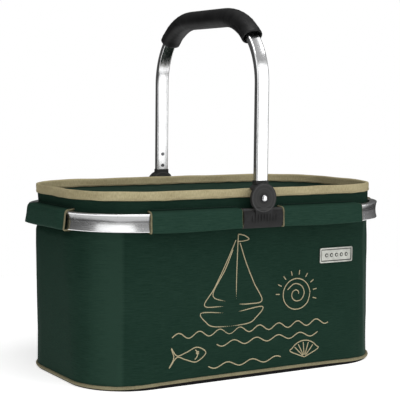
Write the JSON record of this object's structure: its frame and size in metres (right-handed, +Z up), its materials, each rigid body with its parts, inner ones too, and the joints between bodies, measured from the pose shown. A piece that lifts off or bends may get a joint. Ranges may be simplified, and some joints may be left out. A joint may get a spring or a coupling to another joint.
{
  "type": "folding shopping basket",
  "caption": "Open shopping basket: an oblong stiff fabric bag hung in an aluminium rail, with a bow handle that folds down over either end.",
  "frame": {"origin": "centre of the underside, on the floor", "axes": "+Z up, X along the basket's length, Y along the handle's hinge line; the badge is on the -Y side"},
  "size_m": [0.4736, 0.2754, 0.466],
  "materials": {
    "bag_fabric": "woven, matt",
    "lining_fabric": "woven, matt",
    "stiffener_board": "foamed board, matt",
    "underside_fabric": "coated, matt",
    "edge_tape": "ribbed tape",
    "aluminium": "polished",
    "black_plastic": "moulded, satin",
    "rivet_steel": "polished",
    "pale_plastic": "moulded",
    "soft_grip": "foamed, matt",
    "badge_metal": "brushed"
  },
  "bodies": {
    "basket": {"base_fabric": "underside_fabric", "base_board": "stiffener_board", "base_lining": "lining_fabric", "base_piping": "edge_tape", "outer_wall": "bag_fabric", "wall_stiffener": "stiffener_board", "wall_lining": "lining_fabric"},
    "frame": {"band_lining": "lining_fabric", "band_outer": "bag_fabric", "front_clamp": "black_plastic", "front_clamp_plate": "black_plastic", "front_clamp_screws": "rivet_steel", "front_left_tunnel": "bag_fabric", "front_pivot_pin": "rivet_steel", "front_pivot_washer": "pale_plastic", "front_rail_joiner": "black_plastic", "front_right_tunnel": "bag_fabric", "left_end_tunnel": "bag_fabric", "left_rail": "aluminium", "rear_clamp": "black_plastic", "rear_clamp_plate": "black_plastic", "rear_clamp_screws": "rivet_steel", "rear_left_tunnel": "bag_fabric", "rear_pivot_pin": "rivet_steel", "rear_pivot_washer": "pale_plastic", "rear_rail_joiner": "black_plastic", "rear_right_tunnel": "bag_fabric", "right_end_tunnel": "bag_fabric", "right_rail": "aluminium", "rim_binding": "edge_tape", "tunnel_edging": "edge_tape"},
    "handle": {"handle_bow": "aluminium", "grip": "soft_grip", "front_foot": "black_plastic", "rear_foot": "black_plastic", "front_foot_rivets": "rivet_steel", "rear_foot_rivets": "rivet_steel"},
    "badge": {"badge": "badge_metal"}
  },
  "joints": [
    {"name": "frame_drop", "type": "slide", "parent": "basket", "child": "frame", "axis": [0, 0, -1], "range_m": [0, 0.14], "deforming": ["outer_wall", "wall_stiffener", "wall_lining"]},
    {"name": "handle_swing", "type": "hinge", "parent": "frame", "child": "handle", "pos_m": [0, 0, 0.228], "axis": [0, 1, 0], "range_deg": [-82, 82]},
    {"name": "badge_drop", "type": "slide", "parent": "basket", "child": "badge", "axis": [0, 0, -1], "range_m": [0, 0.11]}
  ],
  "couplings": [
    {"joint": "badge_drop", "follows": "frame_drop", "ratio": 0.779}
  ]
}
